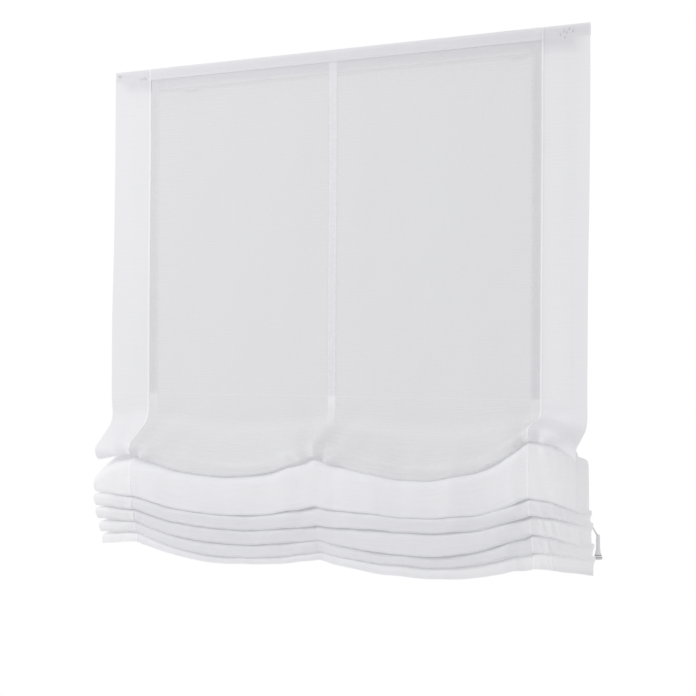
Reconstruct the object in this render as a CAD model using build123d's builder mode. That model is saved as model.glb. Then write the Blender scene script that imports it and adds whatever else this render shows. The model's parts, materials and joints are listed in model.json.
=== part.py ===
from build123d import *
import math
import os

os.makedirs("parts", exist_ok=True)

# A soft-fold blind on the wall: the wall is the plane Y = 0, the room is towards -Y, +Z is up,
# and the origin lies on the wall midway between the two bracket screws.

# Cloth, in millimetres
CLOTH_WIDTH = 1000.0
CLOTH_THICKNESS = 1.0
BAND_WIDTH = 87.0
HEADER_HEIGHT = 22.0
FLAT_DROP = 640.0
STACK_DROP = 315.0
FOLD_REACH = 76.0
EAR_REACH_BACK = 26.0
FRONT_RADIUS = 40.0
CREASE_RADIUS = 3.2
CREASE_GAP = 7.0
CREASE_RISE = 14.0
CREASE_SPACE = 4.0
FIRST_ROLL = 24.0
HEM_WEIGHT_RADIUS = 2.5

# Headrail
RAIL_INSET = 24.0
RAIL_HEIGHT = 40.0
RAIL_DEPTH = 30.0
RAIL_WALL = 1.6
RAIL_LIP = 5.0
RAIL_STANDOFF = 16.0
CAP_THICKNESS = 3.0
CAP_TONGUE_LENGTH = 6.0
CAP_TONGUE_DEPTH = 10.0
CAP_FIT = 0.4
HOOK_TAPE_HEIGHT = 20.0
HOOK_TAPE_THICKNESS = 1.5
LOOP_TAPE_THICKNESS = 1.5

# Wall brackets
BRACKET_SPACING = 700.0
BRACKET_WIDTH = 30.0
BRACKET_SHEET = 2.0
BRACKET_HOOK = 5.0
BRACKET_FIT = 0.2
SCREW_HOLE_RADIUS = 2.25

# Cords, pulleys and rings
CORD_RADIUS = 0.7
CORD_CLEARANCE = 0.3
PULLEY_GROOVE_RADIUS = 4.0
PULLEY_RADIUS = 5.6
PULLEY_WIDTH = 4.0
PULLEY_RIM = 1.0
PULLEY_SIDE_GAP = 0.3
PULLEY_LANE_STEP = 7.0
PULLEY_FLOOR_GAP = 0.4
PIN_RADIUS = 1.5
PIN_CLEARANCE = 0.05
CHEEK = 1.2
CRADLE_END = 3.0
CRADLE_GAP = 0.5
CRADLE_HEAD = 4.0
FLOOR_HOLE_RADIUS = 2.0
RING_RADIUS = 7.5
RING_WIRE_RADIUS = 1.25
RING_CLEARANCE = 0.3
RING_PITCH = 225.0
TOP_FOLD_RING_SETBACK = 15.0
RING_TAPE_WIDTH = 18.0
RING_TAPE_THICKNESS = 0.6
ORB_RADIUS = 6.5

# Cord lock
LOCK_LENGTH = 46.6
LOCK_END_GAP = 0.4
LOCK_END_WALL = 1.4
LOCK_HEAD = 8.0
LOCK_PULLEY_STEP = 9.5
PAWL_INSET = 6.0
PAWL_SETBACK = 9.0
PAWL_RADIUS = 3.6
PAWL_NOSE_WIDTH = 3.0
PAWL_BOTTOM = -9.0
PAWL_TOP = 9.0
PAWL_GAP = 0.4
PAWL_PLATE = 1.6
PAWL_BACK_WALL = 1.5
PAWL_WEB = 3.0

# Bell pull
BELL_HEIGHT = 42.0
BELL_RADIUS = 7.5
BELL_NECK_RADIUS = 3.0
BELL_RIM = 3.0
BELL_BORE_RADIUS = 4.6
BELL_BORE_DEPTH = 12.0
BELL_WAIST_HEIGHT = 30.0
BELL_WAIST_RADIUS = 3.6
BELL_X = 500.0
BELL_Y = -12.0
BELL_DROP = 870.0
STRAND_CLUSTER_RADIUS = 0.95
STRAND_ENTRY = 3.0
KNOT_RADIUS = 4.0

OVERRUN = 1.0

# Places that follow from the sizes
rail_back = -RAIL_STANDOFF
rail_front = rail_back - RAIL_DEPTH
rail_top = RAIL_HEIGHT / 2
rail_floor = -RAIL_HEIGHT / 2
rail_end = CLOTH_WIDTH / 2 - RAIL_INSET
floor_inside = rail_floor + RAIL_WALL
hook_front = rail_front - HOOK_TAPE_THICKNESS
loop_front = hook_front - LOOP_TAPE_THICKNESS
cloth_middle = loop_front - CLOTH_THICKNESS / 2
cloth_top = rail_top + BRACKET_SHEET
cloth_edge = CLOTH_WIDTH / 2
header_bottom = cloth_top - HEADER_HEIGHT
fold_top = cloth_top - FLAT_DROP
lift_x = cloth_edge - BAND_WIDTH
tape_back = loop_front + RING_TAPE_THICKNESS
cord_y = tape_back + RING_CLEARANCE + RING_RADIUS
turn_radius = PULLEY_GROOVE_RADIUS + CORD_CLEARANCE + CORD_RADIUS
lowest_pulley_z = floor_inside + PULLEY_FLOOR_GAP + PULLEY_RADIUS
pulley_half_slot = PULLEY_WIDTH / 2 + PULLEY_SIDE_GAP
cheek_outside = pulley_half_slot + CHEEK
LIFT_NAMES = ("left", "centre", "right")
lift_places = (-lift_x, 0.0, lift_x)
pulley_heights = tuple(lowest_pulley_z + PULLEY_LANE_STEP * (2 - lane) for lane in range(3))

# Bottom edges of the five folds and the hem, as shares of the stack's drop, at the left edge,
# left lift line, left swag, centre line, right swag, right lift line and right edge
TIP_SHARES = (
    (0.42, 0.38, 0.485, 0.35, 0.455, 0.22, 0.325),
    (0.625, 0.63, 0.71, 0.63, 0.665, 0.53, 0.585),
    (0.715, 0.71, 0.795, 0.735, 0.75, 0.62, 0.67),
    (0.80, 0.79, 0.885, 0.82, 0.88, 0.72, 0.77),
    (0.88, 0.865, 0.965, 0.90, 0.94, 0.82, 0.85),
    (0.94, 0.92, 1.0, 0.945, 0.995, 0.90, 0.93),
)
# How far each fold and the hem stand forward at those places, as shares of the fold reach
FRONT_SHARES = (
    (0.95, 0.91, 1.01, 0.93, 1.01, 0.85, 0.87),
    (0.98, 0.94, 1.04, 0.96, 1.04, 0.88, 0.74),
    (0.94, 0.90, 1.0, 0.92, 1.0, 0.84, 0.45),
    (0.82, 0.79, 0.87, 0.81, 0.87, 0.74, 0.70),
    (0.69, 0.66, 0.73, 0.67, 0.73, 0.62, 0.25),
    (0.54, 0.52, 0.57, 0.53, 0.57, 0.48, 0.10),
)
# How far the folds reach back, how closely their backs meet, and how tall their fronts are
BACK_SHARES = (1.0, 0.0, 0.4, 0.0, 0.4, 0.0, 1.0)
BACK_CLOSE_SHARES = (0.6, 0.0, 0.0, 0.0, 0.0, 0.0, 1.0)
ROLL_HEIGHT_SHARES = (0.5, 0.8, 0.86, 0.86, 0.86, 0.82, 0.8)
# Where the cloth leaves the flat, as a share of the way to the first fold's edge
LEAVE_SHARE = 0.42
ROLL_LEAN_SHARE = 0.3
BAY_STATION_SHARES = (0.0, 0.15, 0.4, 0.7, 1.0)
EAR_STATION_SHARES = (0.0, 0.5, 1.0)
ARC_SHARE = 0.45
BELL_FLARE_SHARE = 1.3
BELL_FLARE_HEIGHT_SHARE = 0.3


def across(x, shares):
    """A share at one place across the width: swags are parabolas, ears bend away from the lift line."""
    side = 0 if x < 0 else 6
    lift = abs(side - 1)
    middle = abs(side - 2)
    if abs(x) > lift_x:
        along = (abs(x) - lift_x) / BAND_WIDTH
        return shares[lift] + (shares[side] - shares[lift]) * along**2
    from_centre = abs(x) / (lift_x / 2)
    end = shares[3] if from_centre < 1 else shares[lift]
    away = 1 - abs(1 - from_centre)
    return shares[middle] + (end - shares[middle]) * (1 - away) ** 2


def tip_level(x, fold):
    return fold_top - STACK_DROP * across(x, TIP_SHARES[fold])


def crease_gap(x, fold):
    """Height of the back crease under a fold: small on a lift line, nearly the next fold at an ear."""
    if fold == 4:
        return CREASE_GAP
    spacing = tip_level(x, fold) - tip_level(x, fold + 1)
    room = max(0, spacing - CREASE_SPACE - CREASE_GAP)
    return CREASE_GAP + room * across(x, BACK_CLOSE_SHARES)


def crease_level(x, fold):
    """Height of the middle of the back crease under a fold, where its ring sits on a lift line."""
    return tip_level(x, fold) + CREASE_RISE - crease_gap(x, fold) / 2


def roll_height(x, fold):
    return (tip_level(x, fold - 1) - tip_level(x, fold)) * across(x, ROLL_HEIGHT_SHARES)


def fold_corners(x):
    """Corners, in Y and Z, of the cloth's middle line from the flat panel down to the hem."""
    back = cloth_middle + EAR_REACH_BACK * across(x, BACK_SHARES)
    leave = fold_top + (tip_level(x, 0) - fold_top) * LEAVE_SHARE
    corners = [(cloth_middle, fold_top), (cloth_middle, leave)]
    for fold in range(5):
        roll = FIRST_ROLL if fold == 0 else roll_height(x, fold)
        front = cloth_middle - FOLD_REACH * across(x, FRONT_SHARES[fold])
        level = tip_level(x, fold)
        corners.append((front, level + roll))
        corners.append((front + roll * ROLL_LEAN_SHARE, level))
        corners.append((back, level + CREASE_RISE))
        corners.append((back, level + CREASE_RISE - crease_gap(x, fold)))
    hem_front = cloth_middle - FOLD_REACH * across(x, FRONT_SHARES[5])
    corners.append((hem_front, tip_level(x, 5) + roll_height(x, 5)))
    corners.append((hem_front, tip_level(x, 5)))
    return corners


def shifted(corners, amount):
    """The same line of corners moved sideways by an amount, to its left when positive."""
    lines = []
    for (y0, z0), (y1, z1) in zip(corners, corners[1:]):
        length = math.hypot(y1 - y0, z1 - z0)
        lines.append(((y1 - y0) / length, (z1 - z0) / length))
    moved = []
    for number, (y, z) in enumerate(corners):
        before = lines[max(number - 1, 0)]
        after = lines[min(number, len(lines) - 1)]
        normal_y = -before[1] - after[1]
        normal_z = before[0] + after[0]
        scale = amount / (1 + before[0] * after[0] + before[1] * after[1])
        moved.append((y + normal_y * scale, z + normal_z * scale))
    return moved


def corner_radii(corners):
    """Radius of the middle line's arc at each inner corner, as large as its runs allow."""
    radii = []
    for number in range(1, len(corners) - 1):
        before = Vector(*corners[number]) - Vector(*corners[number - 1])
        after = Vector(*corners[number + 1]) - Vector(*corners[number])
        turn = math.radians(before.get_angle(after))
        room = ARC_SHARE * min(before.length, after.length) / math.tan(turn / 2)
        is_crease = (number - 2) % 4 > 1 and number > 2
        radii.append(min(CREASE_RADIUS if is_crease else FRONT_RADIUS, room))
    return radii


def turns_left(corners):
    """Sense of each inner corner: +1 where the line turns to its left."""
    senses = []
    for (y0, z0), (y1, z1), (y2, z2) in zip(corners, corners[1:], corners[2:]):
        cross = (y1 - y0) * (z2 - z1) - (z1 - z0) * (y2 - y1)
        senses.append(1 if cross > 0 else -1)
    return senses


def side_line(x, amount):
    """Points along one face of the folded cloth, with each corner's arc drawn in short straight steps."""
    corners = fold_corners(x)
    moved = shifted(corners, amount)
    points = [moved[0]]
    inner = zip(moved, moved[1:], moved[2:], corner_radii(corners), turns_left(corners))
    for before, corner, after, radius, sense in inner:
        into = (Vector(*corner) - Vector(*before)).normalized()
        out = (Vector(*after) - Vector(*corner)).normalized()
        half_turn = math.radians(into.get_angle(out)) / 2
        tangent = (radius - sense * amount) * math.tan(half_turn)
        start = Vector(*corner) - into * tangent
        end = Vector(*corner) + out * tangent
        sagitta = (radius - sense * amount) * (1 - math.cos(half_turn))
        middle = (start + end) / 2
        apex = middle + (Vector(*corner) - middle).normalized() * sagitta
        points += [(place.X, place.Y) for place in (start, apex, end)]
    points.append(moved[-1])
    return points


def folded_cloth(stations):
    """Folded cloth between two places across the width, ruled from station to station."""
    with BuildPart() as cloth:
        for x in stations:
            outline = side_line(x, CLOTH_THICKNESS / 2) + side_line(x, -CLOTH_THICKNESS / 2)[::-1]
            with BuildSketch(Plane.YZ.offset(x)):
                with BuildLine():
                    Polyline(*outline, close=True)
                make_face()
        loft(ruled=True)
    return cloth


def save(piece, name):
    piece.part.label = name
    export_step(piece.part, f"parts/{name}.step")


def slab(name, x_range, y_range, z_range):
    """A flat piece of cloth or tape between two places along each axis."""
    with BuildPart() as piece:
        with BuildSketch(Plane.XY.offset(z_range[0])):
            with Locations((sum(x_range) / 2, sum(y_range) / 2)):
                Rectangle(x_range[1] - x_range[0], y_range[1] - y_range[0])
        extrude(amount=z_range[1] - z_range[0])
    save(piece, name)


# Headrail: a lipped channel, open at the top, with holes in its floor for the cords
lock_end = rail_end - LOCK_END_GAP
lock_start = lock_end - LOCK_LENGTH
last_turn_x = lock_end - LOCK_END_WALL - CRADLE_GAP - PULLEY_RADIUS
turn_places = tuple(last_turn_x - LOCK_PULLEY_STEP * lane for lane in range(3))
exit_places = tuple(place + turn_radius for place in turn_places)
rail_middle = (rail_front + rail_back) / 2
with BuildPart() as headrail:
    with BuildSketch(Plane.YZ.offset(-rail_end)):
        with Locations((rail_middle, 0)):
            Rectangle(RAIL_DEPTH, RAIL_HEIGHT)
            Rectangle(RAIL_DEPTH - 2 * RAIL_WALL, RAIL_HEIGHT - 2 * RAIL_WALL, mode=Mode.SUBTRACT)
        with Locations((rail_middle, rail_top - RAIL_WALL / 2)):
            Rectangle(RAIL_DEPTH - 2 * RAIL_WALL - 2 * RAIL_LIP, RAIL_WALL, mode=Mode.SUBTRACT)
    extrude(amount=2 * rail_end)
    with BuildSketch(Plane.XY.offset(rail_floor - OVERRUN)):
        with Locations(*[(place, cord_y) for place in lift_places + exit_places]):
            Circle(FLOOR_HOLE_RADIUS)
    extrude(amount=RAIL_WALL + 2 * OVERRUN, mode=Mode.SUBTRACT)
save(headrail, "headrail")

# End caps: plates with a tongue that goes inside the back half of the rail
for side, name in ((-1, "left_end_cap"), (1, "right_end_cap")):
    with BuildPart() as cap:
        with BuildSketch(Plane.YZ.offset(side * rail_end)):
            with Locations((rail_middle, 0)):
                Rectangle(RAIL_DEPTH, RAIL_HEIGHT)
        extrude(amount=side * CAP_THICKNESS)
        fillet(cap.faces().sort_by(Axis.X)[-1 if side > 0 else 0].edges(), CAP_THICKNESS / 2)
        with BuildSketch(Plane.YZ.offset(side * rail_end)):
            with Locations((rail_back - RAIL_WALL - CAP_FIT - CAP_TONGUE_DEPTH / 2, 0)):
                Rectangle(CAP_TONGUE_DEPTH, RAIL_HEIGHT - 2 * RAIL_WALL - 2 * CAP_FIT)
        extrude(amount=-side * CAP_TONGUE_LENGTH)
    save(cap, name)

# Hook tape on the rail and loop tape on the cloth
hook_tape_bottom = rail_top - HOOK_TAPE_HEIGHT
slab("hook_tape", (-rail_end, rail_end), (hook_front, rail_front), (hook_tape_bottom, rail_top))
slab("loop_tape", (-cloth_edge, cloth_edge), (loop_front, hook_front), (hook_tape_bottom, rail_top))

# Wall brackets: a plate on the wall, a shelf over the rail, and two hooks under the rail's lips
lip_under = rail_top - RAIL_WALL - BRACKET_FIT
front_lip_end = rail_front + RAIL_WALL + RAIL_LIP + BRACKET_FIT
back_lip_end = rail_back - RAIL_WALL - RAIL_LIP - BRACKET_FIT
for side, name in ((-1, "left_bracket"), (1, "right_bracket")):
    with BuildPart() as bracket:
        with BuildSketch(Plane.YZ.offset(side * BRACKET_SPACING / 2 - BRACKET_WIDTH / 2)):
            with BuildLine():
                Polyline(
                    (0, rail_floor),
                    (0, cloth_top),
                    (rail_front, cloth_top),
                    (rail_front, rail_top),
                    (front_lip_end, rail_top),
                    (front_lip_end, lip_under),
                    (front_lip_end - BRACKET_HOOK, lip_under),
                    (front_lip_end - BRACKET_HOOK, lip_under - BRACKET_SHEET),
                    (front_lip_end + BRACKET_SHEET, lip_under - BRACKET_SHEET),
                    (front_lip_end + BRACKET_SHEET, rail_top),
                    (back_lip_end - BRACKET_SHEET, rail_top),
                    (back_lip_end - BRACKET_SHEET, lip_under - BRACKET_SHEET),
                    (back_lip_end + BRACKET_HOOK, lip_under - BRACKET_SHEET),
                    (back_lip_end + BRACKET_HOOK, lip_under),
                    (back_lip_end, lip_under),
                    (back_lip_end, rail_top),
                    (-BRACKET_SHEET, rail_top),
                    (-BRACKET_SHEET, rail_floor),
                    close=True,
                )
            make_face()
        extrude(amount=BRACKET_WIDTH)
        with BuildSketch(Plane.XZ.offset(-OVERRUN)):
            with Locations((side * BRACKET_SPACING / 2, 0)):
                Circle(SCREW_HOLE_RADIUS)
        extrude(amount=BRACKET_SHEET + 2 * OVERRUN, mode=Mode.SUBTRACT)
    save(bracket, name)

# Cord cradles: a frame around each lift pulley, standing on the rail's floor
lift_pulley_places = tuple(place + turn_radius for place in lift_places)
cradle_half = PULLEY_RADIUS + CRADLE_GAP + CRADLE_END
for name, x, z in zip(LIFT_NAMES, lift_pulley_places, pulley_heights):
    with BuildPart() as cradle:
        with BuildSketch(Plane.XY.offset(floor_inside)):
            with Locations((x, cord_y)):
                Rectangle(2 * cradle_half, 2 * cheek_outside)
                Rectangle(2 * (PULLEY_RADIUS + CRADLE_GAP), 2 * pulley_half_slot, mode=Mode.SUBTRACT)
        extrude(amount=z + CRADLE_HEAD - floor_inside)
        with BuildSketch(Plane.XZ.offset(-cord_y - cheek_outside - OVERRUN)):
            with Locations((x, z)):
                Circle(PIN_RADIUS + PIN_CLEARANCE)
        extrude(amount=2 * (cheek_outside + OVERRUN), mode=Mode.SUBTRACT)
    save(cradle, f"{name}_cord_cradle")


# Pulleys: three over the lift lines and three in the cord lock
def pulley(x, z):
    with BuildPart() as wheel:
        with BuildSketch(Plane((x, cord_y, z))):
            with BuildLine():
                Polyline(
                    (PIN_RADIUS + PIN_CLEARANCE, -PULLEY_WIDTH / 2),
                    (PULLEY_RADIUS, -PULLEY_WIDTH / 2),
                    (PULLEY_RADIUS, PULLEY_RIM - PULLEY_WIDTH / 2),
                    (PULLEY_GROOVE_RADIUS, PULLEY_RIM - PULLEY_WIDTH / 2),
                    (PULLEY_GROOVE_RADIUS, PULLEY_WIDTH / 2 - PULLEY_RIM),
                    (PULLEY_RADIUS, PULLEY_WIDTH / 2 - PULLEY_RIM),
                    (PULLEY_RADIUS, PULLEY_WIDTH / 2),
                    (PIN_RADIUS + PIN_CLEARANCE, PULLEY_WIDTH / 2),
                    close=True,
                )
            make_face()
        revolve(axis=Axis((x, cord_y, z), (0, 1, 0)))
    return wheel


for name, x, z in zip(LIFT_NAMES, lift_pulley_places, pulley_heights):
    save(pulley(x, z), f"{name}_lift_pulley")
for name, x, z in zip(LIFT_NAMES, turn_places, pulley_heights):
    save(pulley(x, z), f"{name}_turn_pulley")

pin_places = list(zip(lift_pulley_places + turn_places, pulley_heights * 2))
with BuildPart() as pulley_pins:
    with BuildSketch(Plane.XZ.offset(-cord_y - cheek_outside)):
        with Locations(*pin_places):
            Circle(PIN_RADIUS)
    extrude(amount=2 * cheek_outside)
save(pulley_pins, "pulley_pins")

# Cord lock: a slotted housing for the turning pulleys, and a yoke that carries the pawl's pin
pawl_x = lock_start + PAWL_INSET
pawl_y = cord_y + PAWL_SETBACK
slot_start = turn_places[-1] - PULLEY_RADIUS - CRADLE_GAP
yoke_bottom = PAWL_BOTTOM - PAWL_GAP - PAWL_PLATE
yoke_top = PAWL_TOP + PAWL_GAP + PAWL_PLATE
yoke_back = pawl_y + PAWL_RADIUS + PAWL_GAP + PAWL_BACK_WALL
back_cheek = cord_y + cheek_outside
with BuildPart() as cord_lock_body:
    with BuildSketch(Plane.XY.offset(floor_inside)):
        with Locations(((slot_start + lock_end) / 2, cord_y)):
            Rectangle(lock_end - slot_start, 2 * cheek_outside)
        with Locations(((slot_start + lock_end - LOCK_END_WALL) / 2, cord_y)):
            Rectangle(lock_end - LOCK_END_WALL - slot_start, 2 * pulley_half_slot, mode=Mode.SUBTRACT)
        with Locations(((slot_start + PAWL_WEB / 2), (back_cheek + yoke_back) / 2)):
            Rectangle(PAWL_WEB, yoke_back - back_cheek)
    extrude(amount=LOCK_HEAD - floor_inside)
    for plate_bottom in (yoke_bottom, yoke_top - PAWL_PLATE):
        with BuildSketch(Plane.XY.offset(plate_bottom)):
            with Locations(((lock_start + slot_start) / 2, (back_cheek + yoke_back) / 2)):
                Rectangle(slot_start - lock_start, yoke_back - back_cheek)
        extrude(amount=PAWL_PLATE)
    with BuildSketch(Plane.XY.offset(yoke_bottom)):
        with Locations(((lock_start + slot_start) / 2, yoke_back - PAWL_BACK_WALL / 2)):
            Rectangle(slot_start - lock_start, PAWL_BACK_WALL)
    extrude(amount=yoke_top - yoke_bottom)
    with BuildSketch(Plane.XZ.offset(-cord_y - cheek_outside - OVERRUN)):
        with Locations(*zip(turn_places, pulley_heights)):
            Circle(PIN_RADIUS + PIN_CLEARANCE)
    extrude(amount=2 * (cheek_outside + OVERRUN), mode=Mode.SUBTRACT)
    with BuildSketch(Plane.XY.offset(yoke_bottom - OVERRUN)):
        with Locations((pawl_x, pawl_y)):
            Circle(PIN_RADIUS + PIN_CLEARANCE)
    extrude(amount=yoke_top - yoke_bottom + 2 * OVERRUN, mode=Mode.SUBTRACT)
save(cord_lock_body, "cord_lock_body")

# Pawl: an upright bar whose nose presses the three cords, turning on its own pin
nose_end = cord_y + CORD_RADIUS + CORD_CLEARANCE
with BuildPart() as lock_pawl:
    with BuildSketch(Plane.XY.offset(PAWL_BOTTOM)):
        with Locations((pawl_x, pawl_y)):
            Circle(PAWL_RADIUS)
        with Locations((pawl_x, (nose_end + pawl_y) / 2)):
            Rectangle(PAWL_NOSE_WIDTH, pawl_y - nose_end)
        with Locations((pawl_x, pawl_y)):
            Circle(PIN_RADIUS + PIN_CLEARANCE, mode=Mode.SUBTRACT)
    extrude(amount=PAWL_TOP - PAWL_BOTTOM)
save(lock_pawl, "lock_pawl")
with BuildPart() as pawl_pin:
    with BuildSketch(Plane.XY.offset(yoke_bottom)):
        with Locations((pawl_x, pawl_y)):
            Circle(PIN_RADIUS)
    extrude(amount=yoke_top - yoke_bottom)
save(pawl_pin, "pawl_pin")

# Lift cords: up a lift line, over its pulley, along the rail, and down over the turning pulley
orb_drop = math.sqrt((ORB_RADIUS + RING_WIRE_RADIUS) ** 2 - (RING_RADIUS - RING_WIRE_RADIUS) ** 2)
orb_levels = [crease_level(x, 4) - orb_drop - RING_CLEARANCE for x in lift_places]
for name, x, z, exit_x, orb in zip(LIFT_NAMES, lift_places, pulley_heights, exit_places, orb_levels):
    run_z = z + turn_radius
    with BuildPart() as lift_cord:
        with BuildLine() as route:
            FilletPolyline(
                (x, cord_y, orb - ORB_RADIUS),
                (x, cord_y, run_z),
                (exit_x, cord_y, run_z),
                (exit_x, cord_y, rail_floor),
                radius=[turn_radius, turn_radius],
            )
        path = route.wires()[0]
        with BuildSketch(Plane(path @ 0, z_dir=path % 0)):
            Circle(CORD_RADIUS)
        sweep(path=path)
    volume_share = lift_cord.part.volume / (math.pi * CORD_RADIUS**2 * path.length)
    print(name, "lift cord: bend radius", turn_radius, "length", path.length, "volume share", volume_share)
    save(lift_cord, f"{name}_lift_cord")

# Pull strands: straight from the lock to the bell's neck, with their knot inside the bell
bell_top = cloth_top - BELL_DROP
with BuildPart() as pull_strands:
    for number, exit_x in enumerate(exit_places):
        angle = math.radians(number * 360 / len(exit_places))
        start = Vector(exit_x, cord_y, rail_floor - CORD_CLEARANCE)
        end = Vector(
            BELL_X + STRAND_CLUSTER_RADIUS * math.cos(angle),
            BELL_Y + STRAND_CLUSTER_RADIUS * math.sin(angle),
            bell_top - STRAND_ENTRY,
        )
        with BuildSketch(Plane(start, z_dir=end - start)):
            Circle(CORD_RADIUS)
        extrude(amount=(end - start).length)
save(pull_strands, "pull_strands")

bell_bottom = bell_top - BELL_HEIGHT
neck_bore = STRAND_CLUSTER_RADIUS + CORD_RADIUS + CORD_CLEARANCE
bore_top = bell_bottom + BELL_BORE_DEPTH
flare_z = bell_bottom + BELL_HEIGHT * BELL_FLARE_HEIGHT_SHARE
with BuildPart() as cord_bell:
    with BuildSketch(Plane.XZ.offset(-BELL_Y)):
        with BuildLine():
            Polyline(
                (BELL_X + BELL_WAIST_RADIUS, bell_bottom + BELL_WAIST_HEIGHT),
                (BELL_X + BELL_NECK_RADIUS, bell_top),
                (BELL_X + neck_bore, bell_top),
                (BELL_X + neck_bore, bore_top),
                (BELL_X + BELL_BORE_RADIUS, bore_top),
                (BELL_X + BELL_BORE_RADIUS, bell_bottom),
                (BELL_X + BELL_RADIUS, bell_bottom),
                (BELL_X + BELL_RADIUS, bell_bottom + BELL_RIM),
            )
            ThreePointArc(
                (BELL_X + BELL_RADIUS, bell_bottom + BELL_RIM),
                (BELL_X + BELL_WAIST_RADIUS * BELL_FLARE_SHARE, flare_z),
                (BELL_X + BELL_WAIST_RADIUS, bell_bottom + BELL_WAIST_HEIGHT),
            )
        make_face()
    revolve(axis=Axis((BELL_X, BELL_Y, bell_bottom), (0, 0, 1)))
save(cord_bell, "cord_bell")
with BuildPart() as pull_knot:
    with Locations((BELL_X, BELL_Y, bore_top - CORD_CLEARANCE - KNOT_RADIUS)):
        Sphere(KNOT_RADIUS)
save(pull_knot, "pull_knot")

# Flat cloth: header band, sheer panel and side bands, edge to edge, with ring tapes behind
cloth_range = (loop_front - CLOTH_THICKNESS, loop_front)
slab("header_band", (-lift_x, lift_x), cloth_range, (header_bottom, cloth_top))
slab("sheer_panel", (-lift_x, lift_x), cloth_range, (fold_top, header_bottom))
slab("left_side_band", (-cloth_edge, -lift_x), cloth_range, (fold_top, cloth_top))
slab("right_side_band", (lift_x, cloth_edge), cloth_range, (fold_top, cloth_top))
for name, x in zip(LIFT_NAMES, lift_places):
    tape_range = (x - RING_TAPE_WIDTH / 2, x + RING_TAPE_WIDTH / 2)
    slab(f"{name}_ring_tape", tape_range, (loop_front, tape_back), (fold_top, hook_tape_bottom))


# Rings: two rows on the flat cloth, and those of the folds
def rings(name, places):
    with BuildPart() as group:
        for place in places:
            with Locations(place):
                Torus(RING_RADIUS - RING_WIRE_RADIUS, RING_WIRE_RADIUS)
    save(group, name)


top_fold_ring = fold_top - TOP_FOLD_RING_SETBACK
for row in (1, 2):
    row_z = top_fold_ring + RING_PITCH * (3 - row)
    rings(f"ring_row_{row}", [(x, cord_y, row_z) for x in lift_places])
fold_ring_places = [(x, cord_y, top_fold_ring) for x in lift_places]
for x in lift_places:
    fold_ring_places += [(x, cord_y, crease_level(x, fold)) for fold in range(5)]
rings("fold_rings", fold_ring_places)

# Cord orbs: bored balls that hold each lift cord under its lowest ring
with BuildPart() as cord_orbs:
    for x, orb in zip(lift_places, orb_levels):
        with Locations((x, cord_y, orb)):
            Sphere(ORB_RADIUS)
            Cylinder(CORD_RADIUS + CORD_CLEARANCE, 2 * ORB_RADIUS + OVERRUN, mode=Mode.SUBTRACT)
save(cord_orbs, "cord_orbs")

# Folded lower part of the panel and of the two side bands
half_bay = lift_x / 2
bay = [half_bay * share for share in BAY_STATION_SHARES]
right_half = bay + [lift_x - place for place in reversed(bay[:-1])]
panel_stations = [-place for place in reversed(right_half[1:])] + right_half
right_ear = [lift_x + BAND_WIDTH * share for share in EAR_STATION_SHARES]
left_ear = [-place for place in reversed(right_ear)]
save(folded_cloth(panel_stations), "panel_folds")
save(folded_cloth(left_ear), "left_band_folds")
save(folded_cloth(right_ear), "right_band_folds")

# Weight cord: lies in the hem, along its whole bottom edge
with BuildPart() as hem_weight:
    for x in left_ear + panel_stations[1:-1] + right_ear:
        hem_y, hem_z = fold_corners(x)[-1]
        behind = CLOTH_THICKNESS / 2 + CORD_CLEARANCE + HEM_WEIGHT_RADIUS
        with BuildSketch(Plane.YZ.offset(x)):
            with Locations((hem_y + behind, hem_z + HEM_WEIGHT_RADIUS)):
                Circle(HEM_WEIGHT_RADIUS)
    loft(ruled=True)
save(hem_weight, "hem_weight")
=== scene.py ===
import json
import math

import bpy
import numpy as np
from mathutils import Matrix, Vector, noise


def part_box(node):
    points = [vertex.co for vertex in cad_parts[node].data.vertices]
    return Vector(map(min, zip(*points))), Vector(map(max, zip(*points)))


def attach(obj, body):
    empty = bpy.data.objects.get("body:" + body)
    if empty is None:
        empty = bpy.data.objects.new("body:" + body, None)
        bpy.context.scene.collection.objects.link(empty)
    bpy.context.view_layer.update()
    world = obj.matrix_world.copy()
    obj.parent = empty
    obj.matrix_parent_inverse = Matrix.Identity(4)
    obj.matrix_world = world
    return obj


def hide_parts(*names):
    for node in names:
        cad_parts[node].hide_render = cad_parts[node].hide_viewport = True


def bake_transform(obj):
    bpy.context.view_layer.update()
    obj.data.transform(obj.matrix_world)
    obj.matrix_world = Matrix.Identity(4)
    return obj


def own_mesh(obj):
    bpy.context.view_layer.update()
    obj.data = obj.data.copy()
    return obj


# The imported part: a soft-fold blind. Y = 0 is the back of its brackets, -Y is its front, +Z is up.
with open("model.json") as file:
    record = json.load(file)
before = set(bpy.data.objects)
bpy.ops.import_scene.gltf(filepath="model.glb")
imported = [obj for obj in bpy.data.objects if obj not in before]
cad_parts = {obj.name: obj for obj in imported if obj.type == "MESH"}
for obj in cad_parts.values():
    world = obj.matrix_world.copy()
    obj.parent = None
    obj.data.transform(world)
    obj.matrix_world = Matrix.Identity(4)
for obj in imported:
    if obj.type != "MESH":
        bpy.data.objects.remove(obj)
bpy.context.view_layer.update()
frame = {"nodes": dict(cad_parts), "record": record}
nodes = frame["nodes"]
collection = bpy.context.scene.collection

# Camera: level, to the right of the blind, looking back at it at 29 degrees
camera_lens = bpy.data.cameras.new("camera")
camera_lens.sensor_width = 36.0
camera_lens.lens = 79.4
camera_lens.shift_y = -0.0029
camera = bpy.data.objects.new("camera", camera_lens)
camera.location = (1.399, -2.516, -0.525)
camera.rotation_euler = (math.radians(90), 0, math.radians(29))
collection.objects.link(camera)
bpy.context.scene.camera = camera
bpy.context.scene.view_settings.view_transform = "Standard"


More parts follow.
